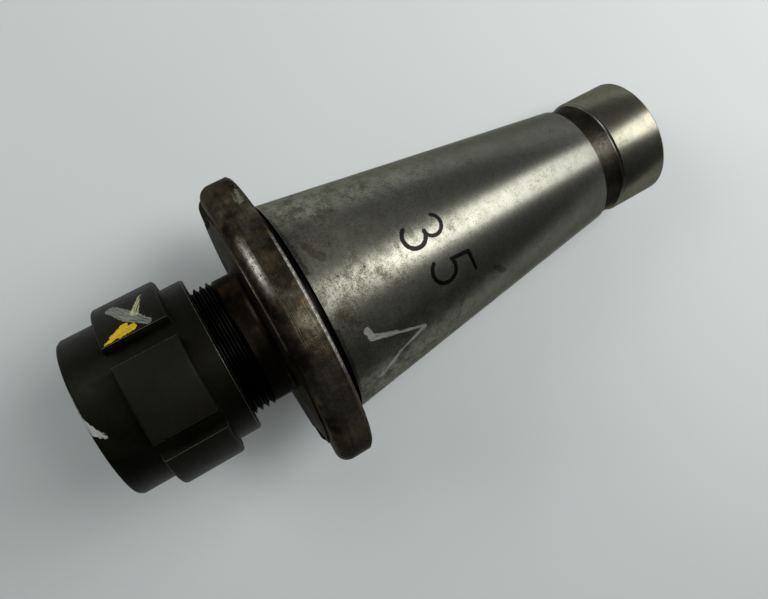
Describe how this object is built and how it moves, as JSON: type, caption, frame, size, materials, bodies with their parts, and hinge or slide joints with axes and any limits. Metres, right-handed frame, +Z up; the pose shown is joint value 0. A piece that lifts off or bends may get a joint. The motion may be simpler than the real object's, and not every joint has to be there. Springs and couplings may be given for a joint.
{
  "type": "collet_chuck_arbor",
  "caption": "Milling collet chuck with a 7:24 taper shank, slotted driving flange, threaded nose and a lugged clamping nut holding a slotted spring collet",
  "frame": {"origin": "centre of the gauge plane, where the cone has its gauge diameter, on the axis of rotation", "axes": "+X along the axis of rotation from the nut towards the pilot; +Y towards one driving slot; +Z up"},
  "size_m": [0.1952, 0.0906, 0.0942],
  "materials": {
    "shank_body": "ground cone and pilot with a brown-olive patina, browned flange and neck",
    "clamping_nut": "matt black oxide, worn at the edges",
    "race_plug": "black oxide",
    "circlip": "phosphated spring steel",
    "pressure_ring": "hardened and ground",
    "thrust_balls": "polished bearing steel",
    "spring_collet": "hardened and ground spring steel",
    "stop_screw": "oiled dark steel"
  },
  "bodies": {
    "shank": {"shank_body": "shank_body"},
    "carriage": {"pressure_ring": "pressure_ring", "spring_collet": "spring_collet"},
    "nut": {"clamping_nut": "clamping_nut", "race_plug": "race_plug", "circlip": "circlip"},
    "race": {"thrust_balls": "thrust_balls"},
    "stop": {"stop_screw": "stop_screw"}
  },
  "joints": [
    {"name": "nut_travel", "type": "slide", "parent": "shank", "child": "carriage", "axis": [1, 0, 0], "range_m": [-0.008, 0.003]},
    {"name": "nut_turn", "type": "hinge", "parent": "carriage", "child": "nut", "pos_m": [-0.048, 0, 0], "axis": [1, 0, 0], "range_deg": [-1441, 541]},
    {"name": "race_turn", "type": "hinge", "parent": "carriage", "child": "race", "pos_m": [-0.0625, 0, 0], "axis": [1, 0, 0], "range_deg": [-721, 271]},
    {"name": "stop_travel", "type": "slide", "parent": "shank", "child": "stop", "axis": [1, 0, 0], "range_m": [-0.005, 0.007]}
  ],
  "couplings": [
    {"joint": "nut_turn", "follows": "nut_travel", "rad_per_m": 3141.6},
    {"joint": "race_turn", "follows": "nut_travel", "rad_per_m": 1570.8}
  ]
}
